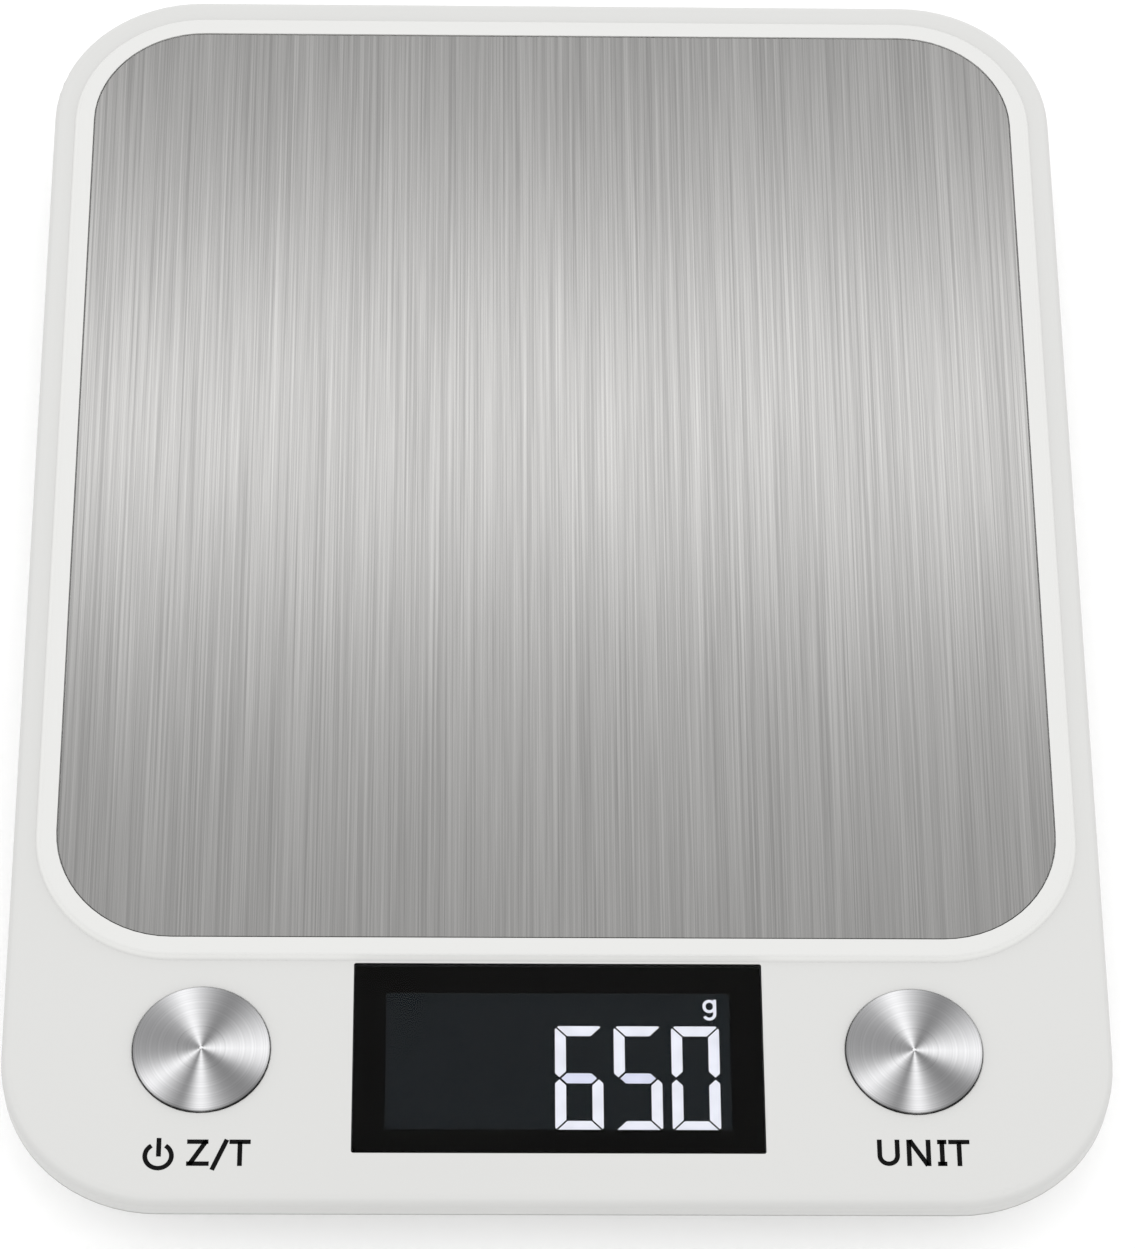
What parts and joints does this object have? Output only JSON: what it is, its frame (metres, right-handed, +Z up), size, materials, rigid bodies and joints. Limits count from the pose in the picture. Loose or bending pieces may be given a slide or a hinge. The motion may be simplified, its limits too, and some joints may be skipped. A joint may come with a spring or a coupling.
{
  "type": "kitchen scale",
  "caption": "Flat digital kitchen scale with a rounded white case, brushed steel weighing plate, black display window, two round metal push buttons and weighing feet underneath.",
  "frame": {"origin": "under the middle of the case, on the surface that the feet stand on", "axes": "+Z up, +Y from the display end to the far end of the plate, +X to the right as the display is read"},
  "size_m": [0.18, 0.24, 0.018],
  "materials": {
    "case_plastic": "glossy moulded ABS, off-white",
    "plate_steel": "straight brushed stainless sheet",
    "adhesive": "double-sided tape",
    "lens": "smoked glossy acrylic with a black printed border",
    "lcd_glass": "dark negative LCD glass",
    "light_guide": "clear light guide",
    "black_plastic": "moulded black plastic",
    "strip_rubber": "layered conductive rubber",
    "circuit_board": "green solder mask",
    "chip_resin": "black resin dome",
    "zinc_steel": "zinc-plated steel",
    "button_metal": "spun aluminium with fine rings",
    "inner_plastic": "plain moulded ABS",
    "switch_stem": "black moulded plastic",
    "sensor_steel": "stamped alloy steel, nickel-plated",
    "gauge_coat": "white silicone coating",
    "foot_plastic": "moulded ABS",
    "foot_rubber": "grey soft rubber",
    "thin_wire": "insulated thin wire",
    "battery_can": "plain wrapped steel can",
    "contact_metal": "nickel-plated spring steel",
    "power_wire": "insulated wire"
  },
  "bodies": {
    "case": {"battery_cell_1": "battery_can", "battery_cell_2": "battery_can", "battery_leads": "power_wire", "board_components": "black_plastic", "board_screws": "zinc_steel", "bottom_cover": "case_plastic", "button_flexure_left": "inner_plastic", "button_flexure_right": "inner_plastic", "case_screws": "zinc_steel", "cell_retainer_front_left": "inner_plastic", "cell_retainer_front_right": "inner_plastic", "cell_retainer_rear_left": "inner_plastic", "cell_retainer_rear_right": "inner_plastic", "contact_bridge": "contact_metal", "contact_negative": "contact_metal", "contact_positive": "contact_metal", "controller_chip": "chip_resin", "display_lens": "lens", "lcd_backlight": "light_guide", "lcd_connector_strips": "strip_rubber", "lcd_frame": "black_plastic", "lcd_panel": "lcd_glass", "lens_adhesive": "adhesive", "load_cell_front_left": "sensor_steel", "load_cell_front_right": "sensor_steel", "load_cell_rear_left": "sensor_steel", "load_cell_rear_right": "sensor_steel", "main_board": "circuit_board", "plate_adhesive": "adhesive", "retainer_screws": "zinc_steel", "sensor_leads_front_left": "thin_wire", "sensor_leads_front_right": "thin_wire", "sensor_leads_rear_left": "thin_wire", "sensor_leads_rear_right": "thin_wire", "strain_gauge_front_left": "gauge_coat", "strain_gauge_front_right": "gauge_coat", "strain_gauge_rear_left": "gauge_coat", "strain_gauge_rear_right": "gauge_coat", "switch_body_left": "black_plastic", "switch_body_right": "black_plastic", "top_cover": "case_plastic", "weighing_plate": "plate_steel"},
    "button_left": {"button_cap_left": "button_metal", "button_plunger_left": "inner_plastic", "switch_stem_left": "switch_stem"},
    "button_right": {"button_cap_right": "button_metal", "button_plunger_right": "inner_plastic", "switch_stem_right": "switch_stem"},
    "battery_door": {"battery_door": "case_plastic"},
    "foot_front_left": {"foot_cup_front_left": "foot_plastic", "foot_pad_front_left": "foot_rubber"},
    "foot_front_right": {"foot_cup_front_right": "foot_plastic", "foot_pad_front_right": "foot_rubber"},
    "foot_rear_left": {"foot_cup_rear_left": "foot_plastic", "foot_pad_rear_left": "foot_rubber"},
    "foot_rear_right": {"foot_cup_rear_right": "foot_plastic", "foot_pad_rear_right": "foot_rubber"}
  },
  "joints": [
    {"name": "button_left_press", "type": "slide", "parent": "case", "child": "button_left", "axis": [0, 0, -1], "range_m": [0, 0.0005], "stiffness_N_per_m": 800, "springref_m": -0.002, "deforming": ["button_flexure_left"]},
    {"name": "button_right_press", "type": "slide", "parent": "case", "child": "button_right", "axis": [0, 0, -1], "range_m": [0, 0.0005], "stiffness_N_per_m": 800, "springref_m": -0.002, "deforming": ["button_flexure_right"]},
    {"name": "foot_front_left_load", "type": "slide", "parent": "case", "child": "foot_front_left", "axis": [0, 0, 1], "range_m": [0, 0.0004], "stiffness_N_per_m": 2500, "springref_m": -0.0008, "deforming": ["load_cell_front_left"]},
    {"name": "foot_front_right_load", "type": "slide", "parent": "case", "child": "foot_front_right", "axis": [0, 0, 1], "range_m": [0, 0.0004], "stiffness_N_per_m": 2500, "springref_m": -0.0008, "deforming": ["load_cell_front_right"]},
    {"name": "foot_rear_left_load", "type": "slide", "parent": "case", "child": "foot_rear_left", "axis": [0, 0, 1], "range_m": [0, 0.0004], "stiffness_N_per_m": 2500, "springref_m": -0.0008, "deforming": ["load_cell_rear_left"]},
    {"name": "foot_rear_right_load", "type": "slide", "parent": "case", "child": "foot_rear_right", "axis": [0, 0, 1], "range_m": [0, 0.0004], "stiffness_N_per_m": 2500, "springref_m": -0.0008, "deforming": ["load_cell_rear_right"]},
    {"name": "battery_door_hinge", "type": "hinge", "parent": "case", "child": "battery_door", "pos_m": [-0.0292, 0.012, 0.0035], "axis": [0, 1, 0], "range_deg": [0, 90]}
  ]
}
